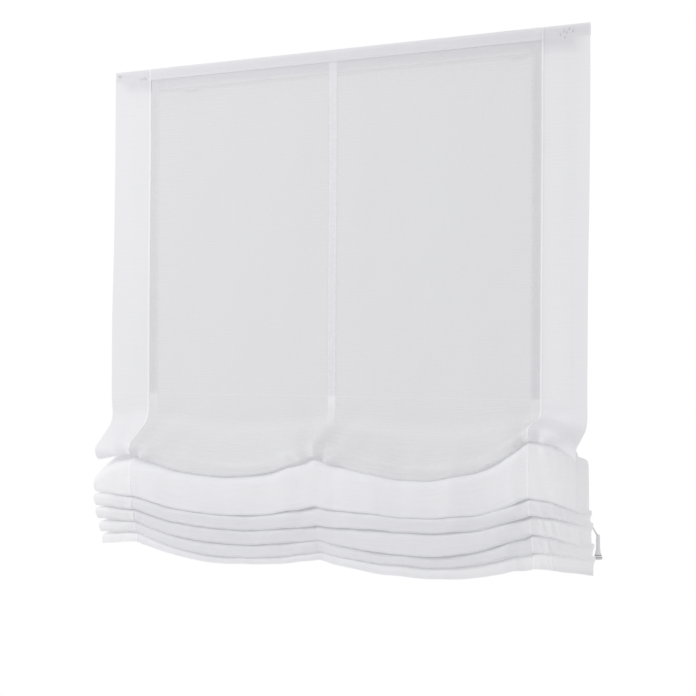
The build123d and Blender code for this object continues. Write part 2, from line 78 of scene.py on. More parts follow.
# Pull cords: three braided white strands that leave the headrail's right end and meet in the bell.
# They hang behind the right band, bend aside past the ends of the folds just above the bell, and pay
# out as the bell is pulled down.
def linear(colour):
    """An sRGB hex colour as linear RGBA."""
    shares = [int(colour[i : i + 2], 16) / 255 for i in (0, 2, 4)]
    return tuple(c / 12.92 if c <= 0.04045 else ((c + 0.055) / 1.055) ** 2.4 for c in shares) + (1.0,)


def add_node(material, kind, inputs=(), **settings):
    """A shader node with its settings, and its inputs linked or set."""
    node = material.node_tree.nodes.new(kind)
    for name, value in settings.items():
        setattr(node, name, value)
    for name, value in dict(inputs).items():
        if isinstance(value, bpy.types.NodeSocket):
            material.node_tree.links.new(value, node.inputs[name])
        else:
            node.inputs[name].default_value = value
    return node


def empty_material(name):
    """A material with an empty node tree."""
    material = bpy.data.materials.new(name)
    material.use_nodes = True
    material.node_tree.nodes.clear()
    return material


def finish_material(material, inputs):
    """A Principled surface with these inputs, joined to the output."""
    surface = add_node(material, "ShaderNodeBsdfPrincipled", inputs)
    add_node(material, "ShaderNodeOutputMaterial", {"Surface": surface.outputs["BSDF"]})
    return material


def grained_material(name, dark, light, grain_m, roughness, metallic=0.0, stretch=(1, 1, 1), bump_m=0.00002):
    """A plain surface with a faint grain of that size, stretched along the axes."""
    material = empty_material(name)
    place = add_node(material, "ShaderNodeTexCoord")
    scaled = add_node(
        material, "ShaderNodeMapping", {"Vector": place.outputs["Object"], "Scale": stretch}
    )
    grain = add_node(
        material,
        "ShaderNodeTexNoise",
        {"Vector": scaled.outputs["Vector"], "Scale": 1 / grain_m, "Detail": 3.0},
    )
    tint = add_node(
        material,
        "ShaderNodeMixRGB",
        {"Fac": grain.outputs["Fac"], "Color1": linear(dark), "Color2": linear(light)},
    )
    bump = add_node(
        material, "ShaderNodeBump", {"Height": grain.outputs["Fac"], "Strength": 0.3, "Distance": bump_m}
    )
    return finish_material(
        material,
        {
            "Base Color": tint.outputs["Color"],
            "Roughness": roughness,
            "Metallic": metallic,
            "Normal": bump.outputs["Normal"],
        },
    )


def tube(name, points, radius, sides=10):
    """A round mesh tube along a polyline of points."""
    points = [Vector(p) for p in points]
    vertices, faces = [], []
    for number, point in enumerate(points):
        along = (points[min(number + 1, len(points) - 1)] - points[max(number - 1, 0)]).normalized()
        side = along.cross(Vector((0, 1, 0)) if abs(along.y) < 0.9 else Vector((1, 0, 0))).normalized()
        up = side.cross(along)
        for step in range(sides):
            angle = 2 * math.pi * step / sides
            vertices.append(point + radius * (side * math.cos(angle) + up * math.sin(angle)))
    for ring in range(len(points) - 1):
        for step in range(sides):
            a, b = ring * sides + step, ring * sides + (step + 1) % sides
            faces.append((a, b, b + sides, a + sides))
    faces.append(tuple(reversed(range(sides))))
    faces.append(tuple(range((len(points) - 1) * sides, len(points) * sides)))
    return mesh_object(name, vertices, faces)


def mesh_object(name, vertices, faces):
    """A smooth shaded mesh, linked into the scene."""
    mesh = bpy.data.meshes.new(name)
    mesh.from_pydata([tuple(v) for v in vertices], [], faces)
    mesh.polygons.foreach_set("use_smooth", [True] * len(mesh.polygons))
    mesh.update()
    piece = bpy.data.objects.new(name, mesh)
    collection.objects.link(piece)
    return piece


# Braided polyester: soft matt white, with the plait drawn coarser than the real one so that it shows
cord_material = grained_material(
    "braided_cord", "d6d6d6", "f2f2f2", grain_m=0.0012, roughness=0.75, stretch=(1, 1, 0.35), bump_m=0.0002
)
CORD_RADIUS = 0.0007


def middle(node):
    """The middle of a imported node's box."""
    low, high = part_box(node)
    return (low + high) / 2


LIFT_X = 0.413
CORD_Y = middle("left_lift_pulley").y
TURN_RADIUS = middle("right_lift_pulley").x - LIFT_X
RAIL_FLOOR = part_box("headrail")[0].z
LIFT_SIDES = ("left", "centre", "right")
strand_exits = [middle(f"{side}_turn_pulley").x + TURN_RADIUS for side in LIFT_SIDES]
bell_top = Vector((*middle("cord_bell").xy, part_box("cord_bell")[1].z))
STRAND_SPREAD = 0.00095
STRAND_ENTRY = 0.003
STRAND_GAP = 0.0003
STRAND_STEPS = 80
BEND_SHARPNESS = 12
for number, exit_x in enumerate(strand_exits):
    angle = math.radians(number * 120)
    top = Vector((exit_x, CORD_Y, RAIL_FLOOR - STRAND_GAP))
    foot = bell_top + Vector(
        (STRAND_SPREAD * math.cos(angle), STRAND_SPREAD * math.sin(angle), -STRAND_ENTRY)
    )
    path = []
    for step in range(STRAND_STEPS + 1):
        down = step / STRAND_STEPS
        aside = down**BEND_SHARPNESS
        together = (strand_exits[1] - exit_x) * math.sin(down * math.pi / 2) * (1 - aside)
        place = top + (foot - top) * aside
        path.append(Vector((place.x + together, place.y, top.z + (foot.z - top.z) * down)))
    strand = tube(f"pull_strand_{number + 1}", path, CORD_RADIUS)
    strand.data.materials.append(cord_material)
    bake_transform(strand)
    if number == 0:
        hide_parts("pull_strands")

# Lift cords: the same braided cord, up each lift line from its orb, over the pulley, along the rail and
# down at the lock. The drop shortens as the blind rises; the run inside the rail stays where it is.
LIFT_PLACES = (-LIFT_X, 0.0, LIFT_X)
DROP_STEPS = 40
QUARTER_STEPS = 8


def quarter(centre, start_degrees):
    """Points over a quarter of a pulley, clockwise seen from the front."""
    points = []
    for step in range(QUARTER_STEPS + 1):
        angle = math.radians(start_degrees - 90 * step / QUARTER_STEPS)
        points.append(centre + TURN_RADIUS * Vector((math.cos(angle), 0, math.sin(angle))))
    return points


for name, x, exit_x in zip(LIFT_SIDES, LIFT_PLACES, strand_exits):
    lift_pulley = middle(f"{name}_lift_pulley")
    low_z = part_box(f"{name}_lift_cord")[0].z
    top_z = lift_pulley.z
    drop_path = []
    for step in range(DROP_STEPS + 1):
        drop_path.append(Vector((x, CORD_Y, top_z + (low_z - top_z) * step / DROP_STEPS)))
    drop = tube(f"{name}_lift_cord_drop", drop_path, CORD_RADIUS)
    drop.data.materials.append(cord_material)
    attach(drop, "headrail_unit")
    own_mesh(drop)
    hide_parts(f"{name}_lift_cord")
    run_path = quarter(lift_pulley, 180)
    run_path += quarter(middle(f"{name}_turn_pulley"), 90)
    run_path.append(Vector((exit_x, CORD_Y, RAIL_FLOOR)))
    run = tube(f"{name}_lift_cord_run", run_path, CORD_RADIUS)
    run.data.materials.append(cord_material)
    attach(run, "headrail_unit")

# Cloth: one sheer white voile panel with a doubled band sewn on at each side. It hangs from the rail by
# the loop tape at its top, and its lower part is gathered in five soft folds between three lift lines.
CLOTH_Y = -0.0495
CLOTH_TOP = 0.022
HEADER_BOTTOM = 0.0
FOLD_TOP = -0.618
JOINT_GAP = 0.0001
FLAT_BOTTOM = FOLD_TOP + JOINT_GAP
TAPE_WIDTH = 0.018
STACK_DROP = 0.315
FOLD_REACH = 0.076
BAND_WIDTH = 0.087
BAND_FORWARD = 0.0006
CLOTH_ROWS = 110
TOP_ROWS = 6
CORNER_COLUMNS = 12
PANEL_COLUMNS = 180
BAND_COLUMNS = 48
FOLD_COUNT = 5
LONG_RUN_STEPS = 6
SHORT_RUN_STEPS = 3
TIP_STEPS = 8
CREASE_STEPS = 4
HEM_STEPS = 3
LEAVE_RADIUS = 0.040
SHOULDER_RADII = (0.040, 0.016, 0.007, 0.007, 0.007, 0.007)
TIP_RADIUS = 0.014
CREASE_RADIUS = 0.0032
CREASE_DEPTH = 0.016
CREASE_GAP = 0.007
CREASE_RISE = 0.014
FIRST_ROLL = 0.024
# Bottom edges of the folds and the hem as shares of the stack's drop, at the left edge, left lift line,
# left swag, centre line, right swag, right lift line and right edge
TIP_SHARES = (
    (0.42, 0.38, 0.485, 0.35, 0.455, 0.22, 0.325),
    (0.625, 0.63, 0.71, 0.63, 0.665, 0.53, 0.630),
    (0.715, 0.71, 0.795, 0.735, 0.75, 0.62, 0.697),
    (0.80, 0.79, 0.885, 0.82, 0.88, 0.72, 0.812),
    (0.88, 0.865, 0.965, 0.90, 0.94, 0.82, 0.882),
    (0.94, 0.92, 1.0, 0.945, 0.995, 0.90, 0.945),
)
# How far each fold and the hem stand forward at those places, as shares of the reach
FRONT_SHARES = (
    (0.95, 0.91, 1.01, 0.93, 1.01, 0.85, 0.95),
    (0.98, 0.94, 1.04, 0.96, 1.04, 0.88, 0.10),
    (0.94, 0.90, 1.0, 0.92, 1.0, 0.84, 0.02),
    (0.84, 0.81, 0.93, 0.83, 0.93, 0.76, -0.06),
    (0.73, 0.70, 0.85, 0.73, 0.85, 0.66, -0.14),
    (0.60, 0.58, 0.77, 0.63, 0.77, 0.56, -0.20),
)
# How far the flaps at the right edge stay out, and the shares of the band where they turn back
EAR_STEP_SHARES = (0.0, 0.30, 0.12, 0.30, 0.06, 0.0)
EAR_STEP_START = 0.89
EAR_STEP_END = 0.965
# How closely the creases follow the folds, how round and leaning the folds' edges are, how tall their fronts
CREASE_CLOSE_SHARES = (0.0, 0.0, 0.0, 0.0, 0.0, 0.0, 1.0)
TIP_ROUND_SHARES = (1.0, 0.6, 0.4, 0.4, 0.4, 0.5, 0.4)
TIP_LEAN_SHARES = (0.35, 0.15, 0.06, 0.08, 0.06, 0.10, 0.10)
SECOND_ROLL_SHARES = (0.42, 0.87, 0.985, 0.96, 0.985, 0.94, 1.04)
LOWER_ROLL_SHARES = (0.88, 0.94, 0.975, 0.96, 0.975, 0.96, 0.94)
LEAVE_SHARE = 0.42
ARC_SHARE = 0.45
# Pleats that spread from the rings at the first fold, and crumples at the lift lines below it
GATHER_REACH = 0.10
GATHER_COUNT = 7
GATHER_DEPTH = 0.0065
GATHER_START = 0.05
CRUMPLE_REACH = 0.055
CRUMPLE_STRENGTHS = (0.4, 0.5, 1.0)
CRUMPLE_SHIFT = 0.009
CRUMPLE_LIFT_SIZE = 0.026
CRUMPLE_PUSH_SIZE = 0.020
CRUMPLE_LIFT = 0.0040
CRUMPLE_PUSH = 0.0045
# How far the hanging cloth stands forward low down and at its edges, and its long and short ripples
SWAY_HEIGHTS = (0.05, 0.60)
SWAY_EDGES = (0.38, 0.50)
SWAY_LOW = 0.004
SWAY_EDGE = 0.010
SWAY_ALL = 0.0008
SWAY_START = 0.08
SWAY_END = 0.12
LONG_RIPPLE_SIZE = 0.11
LONG_RIPPLE_DRAW = 0.25
LONG_RIPPLE = 0.0030
SHORT_RIPPLE_SIZE = 0.045
SHORT_RIPPLE_DRAW = 0.6
SHORT_RIPPLE = 0.0010
# Rumples of the folds: full at this reach; each fold differs from the next by a shift in the noise
RUMPLE_REACH = 0.06
SLOW_SIZE = 0.13
SLOW_SHIFT = 0.03
SLOW_LIFT = 0.0045
SLOW_PUSH = 0.0060
QUICK_SIZE = 0.05
QUICK_SHIFT = 0.012
QUICK_DRAW = 0.05
QUICK_LIFT = 0.0026
QUICK_PUSH = 0.0038
FINE_SIZE = 0.022
FINE_PUSH = 0.0010


def across(x, shares):
    """A share at one place across the width: swags are parabolas, ears bend away from the lift line."""
    side = 0 if x < 0 else 6
    lift = abs(side - 1)
    swag = abs(side - 2)
    if abs(x) > LIFT_X:
        along = (abs(x) - LIFT_X) / BAND_WIDTH
        return shares[lift] + (shares[side] - shares[lift]) * along**2
    from_centre = abs(x) / (LIFT_X / 2)
    end = shares[3] if from_centre < 1 else shares[lift]
    away = 1 - abs(1 - from_centre)
    return shares[swag] + (end - shares[swag]) * (1 - away) ** 2


def ease(value, low, high):
    """0 below low, 1 above high, smooth between them."""
    share = np.clip((value - low) / (high - low), 0, 1)
    return share * share * (3 - 2 * share)


def tip_level(x, fold):
    """Height of a fold's bottom edge."""
    return FOLD_TOP - STACK_DROP * across(x, TIP_SHARES[fold])


def front_place(x, fold):
    """How far forward a fold stands; at the right edge some flaps stay out, then turn back at their ends."""
    along = max(0.0, (x - LIFT_X) / BAND_WIDTH)
    flap = EAR_STEP_SHARES[fold] * along**2 * (1 - ease(along, EAR_STEP_START, EAR_STEP_END))
    return CLOTH_Y - FOLD_REACH * (across(x, FRONT_SHARES[fold]) + flap)


def crease_place(x, fold):
    """Where the crease behind a fold lies: in the cloth's own plane, but close behind the fold at an ear."""
    close = front_place(x, fold) + CREASE_DEPTH
    return CLOTH_Y + (close - CLOTH_Y) * across(x, CREASE_CLOSE_SHARES)


def roll_height(x, fold):
    """Height of the upright front of a fold that hangs below another."""
    spacing = tip_level(x, fold - 1) - tip_level(x, fold)
    return spacing * across(x, SECOND_ROLL_SHARES if fold == 1 else LOWER_ROLL_SHARES)


def fold_corners(x):
    """Corners, in Y and Z, of the cloth's middle line from the flat panel down to the hem."""
    leave = FOLD_TOP + (tip_level(x, 0) - FOLD_TOP) * LEAVE_SHARE
    corners = [(CLOTH_Y, FOLD_TOP), (CLOTH_Y, leave)]
    for fold in range(FOLD_COUNT):
        roll = FIRST_ROLL if fold == 0 else roll_height(x, fold)
        front = front_place(x, fold)
        back = crease_place(x, fold)
        level = tip_level(x, fold)
        corners.append((front, level + roll))
        corners.append((front + min(roll, FIRST_ROLL) * across(x, TIP_LEAN_SHARES), level))
        corners.append((back, level + CREASE_RISE))
        corners.append((back, level + CREASE_RISE - CREASE_GAP))
    hem_front = front_place(x, FOLD_COUNT)
    hem_level = tip_level(x, FOLD_COUNT)
    corners.append((hem_front, hem_level + roll_height(x, FOLD_COUNT)))
    corners.append((hem_front, hem_level))
    return [np.array(corner) for corner in corners]


def profile(x):
    """Points down the cloth's middle line at one place, and the fold that each belongs to."""
    corners = fold_corners(x)
    points, folds = [corners[0]], [0]
    for number in range(1, len(corners) - 1):
        before = corners[number] - corners[number - 1]
        after = corners[number + 1] - corners[number]
        lengths = np.linalg.norm(before), np.linalg.norm(after)
        cosine = float(before @ after) / (lengths[0] * lengths[1])
        half_turn = math.acos(max(-1, min(1, cosine))) / 2
        # Two corners lie on the flat cloth, then every fold has four, of which the last two are its crease
        fold, corner = divmod(number - 2, 4)
        crease = corner > 1 and number > 2
        shoulder = SHOULDER_RADII[fold] if number > 1 else LEAVE_RADIUS
        tip_radius = TIP_RADIUS * across(x, TIP_ROUND_SHARES)
        radius = (shoulder, tip_radius, CREASE_RADIUS, CREASE_RADIUS)[corner if number > 1 else 0]
        tangent = min(ARC_SHARE * min(lengths), radius * math.tan(half_turn))
        start = corners[number] - before / lengths[0] * tangent
        end = corners[number] + after / lengths[1] * tangent
        weight = math.cos(half_turn)
        runs = LONG_RUN_STEPS if number < 4 else SHORT_RUN_STEPS
        for step in range(1, runs):
            points.append(points[-1] + (start - points[-1]) / (runs - step + 1))
            folds.append(fold)
        arc_steps = CREASE_STEPS if crease else TIP_STEPS
        for step in range(arc_steps + 1):
            u = step / arc_steps
            scale = (1 - u) ** 2 + 2 * u * (1 - u) * weight + u**2
            bent = (1 - u) ** 2 * start + 2 * u * (1 - u) * weight * corners[number] + u**2 * end
            points.append(bent / scale)
            folds.append(fold)
    for step in range(HEM_STEPS):
        points.append(points[-1] + (corners[-1] - points[-1]) / (HEM_STEPS - step))
        folds.append(FOLD_COUNT)
    return np.array(points), np.array(folds)


def rumple(x, down, size, seed):
    """Smooth noise from -1 to 1 with waves of about that size, over the cloth."""
    return noise.noise(Vector((x / size, down / size, seed)))


def flat_sway(x, z):
    """How far the hanging cloth stands forward of its plane, in metres: a little more near the folds."""
    depth = ease(-z, *SWAY_HEIGHTS)
    edge = ease(abs(x), *SWAY_EDGES)
    wave = rumple(x, z * LONG_RIPPLE_DRAW, LONG_RIPPLE_SIZE, seed=3.1) * LONG_RIPPLE
    wave += rumple(x, z * SHORT_RIPPLE_DRAW, SHORT_RIPPLE_SIZE, seed=8.7) * SHORT_RIPPLE
    return -depth * (SWAY_LOW + SWAY_EDGE * edge) - ease(-z, 0.0, SWAY_START) * (wave + SWAY_ALL)


def grid_faces(columns, rows):
    """Four-sided faces of a grid whose points run down each column."""
    return [
        (c * rows + r, c * rows + r + 1, (c + 1) * rows + r + 1, (c + 1) * rows + r)
        for c in range(columns - 1)
        for r in range(rows - 1)
    ]


def cloth_piece(name, columns, rows, places, texture):
    """A cloth sheet from a grid of points, with a map in metres along and down the cloth."""
    piece = mesh_object(name, places, grid_faces(columns, rows))
    layer = piece.data.uv_layers.new(name="cloth")
    for corner in piece.data.loops:
        layer.data[corner.index].uv = texture[corner.vertex_index]
    return piece


def flat_cloth(name, x_range, z_range, columns, rows, forward=0.0):
    """A piece of the hanging cloth above the folds, that far forward of the panel."""
    places, texture = [], []
    for x in np.linspace(*x_range, columns):
        for z in np.linspace(z_range[1], z_range[0], rows):
            places.append((x, CLOTH_Y + flat_sway(x, z) - forward, z))
            texture.append((x, z))
    return cloth_piece(name, columns, rows, places, texture)


def pleating(x, z):
    """Small pleats that spread up and out from each ring at the first fold, in metres."""
    pleats = 0
    for place in LIFT_PLACES:
        away = Vector((x - place, z - tip_level(place, 0) + GATHER_REACH / 4))
        angle = math.atan2(away.x, away.y)
        pleats += math.exp(-((away.length / GATHER_REACH) ** 2)) * math.cos(GATHER_COUNT * angle)
    return GATHER_DEPTH * pleats


def gathered_near(x):
    """How much the rings crumple the folds at one place: most at the right lift line."""
    return sum(
        strength * math.exp(-(((x - place) / CRUMPLE_REACH) ** 2))
        for place, strength in zip(LIFT_PLACES, CRUMPLE_STRENGTHS)
    )


def fold_line(x, forward):
    """Points down the gathered cloth at one place, rumpled, and the length of cloth down to each."""
    points, folds = profile(x)
    steps = np.linalg.norm(np.diff(points, axis=0), axis=1)
    lengths = np.concatenate(([0], np.cumsum(steps)))
    line = []
    for (y, z), fold, down in zip(points, folds, lengths):
        out = ease(CLOTH_Y - y, 0.0, RUMPLE_REACH)
        sway = flat_sway(x, FOLD_TOP) * (1 - ease(down, 0.0, SWAY_END))
        slow = rumple(x, SLOW_SHIFT * fold, SLOW_SIZE, seed=2.0)
        quick = rumple(x, QUICK_SHIFT * fold + QUICK_DRAW * down, QUICK_SIZE, seed=11.0)
        fine = rumple(x, down, FINE_SIZE, seed=5.0)
        tugged = gathered_near(x)
        tugged_up = CRUMPLE_LIFT * tugged * rumple(x, CRUMPLE_SHIFT * fold, CRUMPLE_LIFT_SIZE, seed=23.0)
        tugged_out = CRUMPLE_PUSH * tugged * rumple(x, down, CRUMPLE_PUSH_SIZE, seed=17.0)
        lift = out * (SLOW_LIFT * slow + QUICK_LIFT * quick + tugged_up)
        push = out * (SLOW_PUSH * slow + QUICK_PUSH * quick + FINE_PUSH * fine + tugged_out)
        if fold <= 0:
            push += pleating(x, z) * ease(down, 0.0, GATHER_START)
        line.append((x, y + sway - push - forward, z + lift))
    return line, lengths


def folded_cloth(name, x_range, columns, forward=0.0):
    """A piece of the gathered cloth below, that far forward of the panel."""
    places = np.linspace(*x_range, columns)
    lines, lengths = zip(*(fold_line(x, forward) for x in places))
    down = np.mean(lengths, axis=0)
    texture = [(x, FOLD_TOP - d) for x in places for d in down]
    return cloth_piece(name, columns, len(down), [point for line in lines for point in line], texture)


# Shares of the threads in the weave, the range of their noise that opens the gaps, and in metres where the
# tapes' painted light and the gathered look's painted whiter colour fade out
SLUB_SHARE = 0.6
WEFT_SHARE = 0.2
WARP_SHARE = 0.2
THREAD_RANGE = (0.35, 0.65)
EDGE_BLUR = 0.001
TAPE_CORE_SHARE = 0.8
TAPE_LIGHT_FADE = (0.07, 0.005)
GATHERED_LIGHT_FADE = (0.04, 0.29)
THROUGH_SHARE = 0.4


def cloth_material(name, shade, bright, alpha_low, alpha_high, gathered=None, backed_lit=None):
    """Voile: uneven horizontal weft threads over a fine upright warp, with gaps that show through.
    The gathered look takes over down the first fold: its layers close up and its colour is painted whiter,
    painted light that lifts the shade between the folds. Over the rail and a tape the cloth is closed and
    painted lighter, painted light that cancels the shade they cast by blocking the light from behind."""
    material = empty_material(name)
    place = add_node(material, "ShaderNodeUVMap", uv_map="cloth")

    def threads(across_m, down_m, detail):
        scaled = add_node(
            material,
            "ShaderNodeMapping",
            {"Vector": place.outputs["UV"], "Scale": (1 / across_m, 1 / down_m, 1)},
        )
        return add_node(
            material,
            "ShaderNodeTexNoise",
            {"Vector": scaled.outputs["Vector"], "Scale": 1.0, "Detail": detail},
        ).outputs["Fac"]

    slub = threads(across_m=0.07, down_m=0.0022, detail=3.0)
    weft = threads(across_m=0.012, down_m=0.0008, detail=2.0)
    warp = threads(across_m=0.0012, down_m=0.05, detail=2.0)
    mixed = add_node(material, "ShaderNodeMath", {0: slub, 1: SLUB_SHARE}, operation="MULTIPLY")
    for thread, share in ((weft, WEFT_SHARE), (warp, WARP_SHARE)):
        mixed = add_node(
            material, "ShaderNodeMath", {0: thread, 1: share, 2: mixed.outputs[0]}, operation="MULTIPLY_ADD"
        )

    def look(shade, bright, alpha_low, alpha_high):
        cover = add_node(
            material,
            "ShaderNodeMapRange",
            {
                "Value": mixed.outputs[0],
                "From Min": THREAD_RANGE[0],
                "From Max": THREAD_RANGE[1],
                "To Min": alpha_low,
                "To Max": alpha_high,
            },
        )
        tint = add_node(
            material,
            "ShaderNodeMixRGB",
            {"Fac": mixed.outputs[0], "Color1": linear(shade), "Color2": linear(bright)},
        )
        return tint.outputs["Color"], cover.outputs["Result"]

    def ramp(value, low, high):
        """0 where the value is at low, 1 where it is at high."""
        return add_node(
            material, "ShaderNodeMapRange", {"Value": value, "From Min": low, "From Max": high}
        ).outputs["Result"]

    def join(operation, first, second):
        return add_node(material, "ShaderNodeMath", {0: first, 1: second}, operation=operation).outputs[0]

    def mix(share, first, second):
        return add_node(
            material, "ShaderNodeMixRGB", {"Fac": share, "Color1": first, "Color2": second}
        ).outputs["Color"]

    colour, cover = look(shade, bright, alpha_low, alpha_high)
    along = add_node(material, "ShaderNodeSeparateXYZ", {"Vector": place.outputs["UV"]})
    # Painted light: the cloth over the rail and tapes is closed and lighter, to cancel the shade they cast
    if backed_lit:
        aside = add_node(material, "ShaderNodeMath", {0: along.outputs["X"]}, operation="ABSOLUTE").outputs[0]
        on_rail = ramp(along.outputs["Y"], RAIL_FLOOR - EDGE_BLUR, RAIL_FLOOR + EDGE_BLUR)
        on_side_tape = ramp(aside, LIFT_X - TAPE_WIDTH - EDGE_BLUR, LIFT_X - TAPE_WIDTH + EDGE_BLUR)
        on_tape = ramp(aside, TAPE_WIDTH / 2, TAPE_CORE_SHARE * TAPE_WIDTH / 2)
        flat = ramp(along.outputs["Y"], FOLD_TOP - TAPE_LIGHT_FADE[0], FOLD_TOP - TAPE_LIGHT_FADE[1])
        edge = join("MAXIMUM", join("MULTIPLY", on_side_tape, flat), on_rail)
        # Painted bright strip along the centre tape
        lit_tape_strip = join("MULTIPLY", on_tape, flat)
        colour = mix(lit_tape_strip, mix(edge, colour, linear(backed_lit[0])), linear(backed_lit[1]))
        cover = mix(join("MAXIMUM", edge, lit_tape_strip), cover, (1, 1, 1, 1))
    # Painted light: down the folds the colour turns whiter to lift the shade between them; layers close up
    if gathered:
        gathered_lit_colour, second_cover = look(*gathered)
        share = ramp(along.outputs["Y"], FOLD_TOP - GATHERED_LIGHT_FADE[0], FOLD_TOP - GATHERED_LIGHT_FADE[1])
        colour = mix(share, colour, gathered_lit_colour)
        cover = mix(share, cover, second_cover)
    bump = add_node(
        material, "ShaderNodeBump", {"Height": mixed.outputs[0], "Strength": 0.4, "Distance": 0.0004}
    )
    face = add_node(
        material,
        "ShaderNodeBsdfPrincipled",
        {
            "Base Color": colour,
            "Roughness": 0.9,
            "Specular IOR Level": 0.1,
            "Sheen Weight": 0.25,
            "Alpha": cover,
            "Normal": bump.outputs["Normal"],
        },
    )
    through = add_node(material, "ShaderNodeBsdfTranslucent", {"Color": colour})
    both = add_node(
        material, "ShaderNodeMixShader", {0: THROUGH_SHARE, 1: face.outputs[0], 2: through.outputs[0]}
    )
    add_node(material, "ShaderNodeOutputMaterial", {"Surface": both.outputs[0]})
    return material


# Plain woven voile: pale, matt and partly see-through, with slub lines across it. Its threads are drawn
# coarser than the real ones, so that they show; gathered, its layers close up, and their colour is painted
# whiter, painted light that lifts the shade between the folds.
sheer_material = cloth_material(
    "sheer_voile",
    "e0e0e1",
    "ededee",
    alpha_low=0.76,
    alpha_high=0.93,
    # gathered colours: painted whiter, painted light for the shade between the folds
    gathered=("f6f6f8", "fcfcfd", 0.94, 1.0),
    # backed colours: painted light over the rail and tapes, to cancel the shade they cast
    backed_lit=("eeeef0", "f7f7f9"),
)
# Two layers of that voile: whiter, closer and hardly see-through
band_material = cloth_material(
    "doubled_voile",
    "f0f0f2",
    "f4f4f6",
    alpha_low=0.90,
    alpha_high=0.96,
    # gathered colours: painted whiter, painted light for the shade between the folds
    gathered=("fafafc", "ffffff", 0.96, 1.0),
)


def hang_flat(piece, material, node):
    """Hang a flat cloth on the rail, to shorten as the blind is lifted."""
    piece.data.materials.append(material)
    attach(piece, "headrail_unit")
    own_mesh(piece)
    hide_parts(node)


def hang_folds(piece, material, node):
    """Put a gathered cloth on the fold stack, which rises as the blind is lifted."""
    piece.data.materials.append(material)
    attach(piece, "fold_stack")
    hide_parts(node)


panel_range = (-LIFT_X, LIFT_X)
flat_range = (FLAT_BOTTOM, HEADER_BOTTOM)
top_range = (HEADER_BOTTOM, CLOTH_TOP)
panel_flat = flat_cloth("sheer_panel_cloth", panel_range, flat_range, PANEL_COLUMNS, CLOTH_ROWS)
hang_flat(panel_flat, sheer_material, "sheer_panel")
panel_folds = folded_cloth("sheer_panel_gathers", panel_range, PANEL_COLUMNS)
hang_folds(panel_folds, sheer_material, "panel_folds")
for side, name in ((-1, "left"), (1, "right")):
    x_range = sorted((side * LIFT_X, side * (LIFT_X + BAND_WIDTH)))
    band = flat_cloth(f"{name}_band_cloth", x_range, flat_range, BAND_COLUMNS, CLOTH_ROWS, BAND_FORWARD)
    hang_flat(band, band_material, f"{name}_side_band")
    gathers = folded_cloth(f"{name}_band_gathers", x_range, BAND_COLUMNS, BAND_FORWARD)
    hang_folds(gathers, band_material, f"{name}_band_folds")
    corner = flat_cloth(f"{name}_band_top", x_range, top_range, CORNER_COLUMNS, TOP_ROWS, BAND_FORWARD)
    corner.data.materials.append(band_material)
    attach(corner, "headrail_unit")

# Header band: the panel's top edge, turned over and stitched, so of doubled voile like the side bands.
# Loop tape on its back presses on to the hook tape of the rail.
HEADER_FORWARD = 0.0016
HEADER_COLUMNS = 60
HEADER_ROWS = 8
header = flat_cloth("header_cloth", panel_range, top_range, HEADER_COLUMNS, HEADER_ROWS, HEADER_FORWARD)
header.data.materials.append(band_material)
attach(header, "headrail_unit")
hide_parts("header_band")

# Seams: the felled edge of each side band, a narrow welt of several layers of voile.
# It is sewn down from the header to the hem and folds with the cloth.
# Felled voile: no gaps are left, and its colour is set to full white as a painted highlight for the light
# that its raised edge catches, so it is the whitest line on the blind
seam_material = cloth_material("felled_seam", "fdfdfe", "ffffff", alpha_low=1.0, alpha_high=1.0)
SEAM_WIDTH = 0.0032
SEAM_FORWARD = 0.0014
SEAM_COLUMNS = 2
for side, name in ((-1, "left"), (1, "right")):
    x_range = sorted((side * LIFT_X, side * (LIFT_X + SEAM_WIDTH)))
    flat_seam = flat_cloth(
        f"{name}_flat_seam", x_range, flat_range, SEAM_COLUMNS, CLOTH_ROWS, SEAM_FORWARD
    )
    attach(flat_seam, "headrail_unit")
    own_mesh(flat_seam)
    fold_seam = folded_cloth(f"{name}_fold_seam", x_range, SEAM_COLUMNS, SEAM_FORWARD)
    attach(fold_seam, "fold_stack")
    top_seam = flat_cloth(f"{name}_top_seam", x_range, top_range, SEAM_COLUMNS, TOP_ROWS, SEAM_FORWARD)
    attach(top_seam, "headrail_unit")
    for seam in (flat_seam, fold_seam, top_seam):
        seam.data.materials.append(seam_material)

# Ring tapes: three narrow woven cotton tapes by the lift lines, which carry the rings.
# They are sewn down the back of the cloth and shorten with it.
# Woven tape: close matt white with a faint rib along it, drawn coarse so that it shows
tape_material = grained_material(
    "woven_tape", "f0f0f0", "fcfcfc", grain_m=0.0015, roughness=0.85, stretch=(1, 1, 0.3), bump_m=0.0001
)
TAPE_BEHIND = 0.0018
TAPE_ROWS = 40
TAPE_SHARES = (-0.5, -0.17, 0.17, 0.5)
for name, x, inset in zip(LIFT_SIDES, LIFT_PLACES, (TAPE_WIDTH / 2, 0, -TAPE_WIDTH / 2)):
    places = []
    texture = []
    for share in TAPE_SHARES:
        for z in np.linspace(HEADER_BOTTOM, FOLD_TOP, TAPE_ROWS):
            tape_x = x + inset + share * TAPE_WIDTH
            places.append((tape_x, CLOTH_Y + TAPE_BEHIND + flat_sway(tape_x, z), z))
            texture.append((tape_x, z))
    tape = cloth_piece(f"{name}_ring_tape_cloth", len(TAPE_SHARES), TAPE_ROWS, places, texture)
    tape.data.materials.append(tape_material)
    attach(tape, "headrail_unit")
    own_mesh(tape)
    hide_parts(f"{name}_ring_tape")

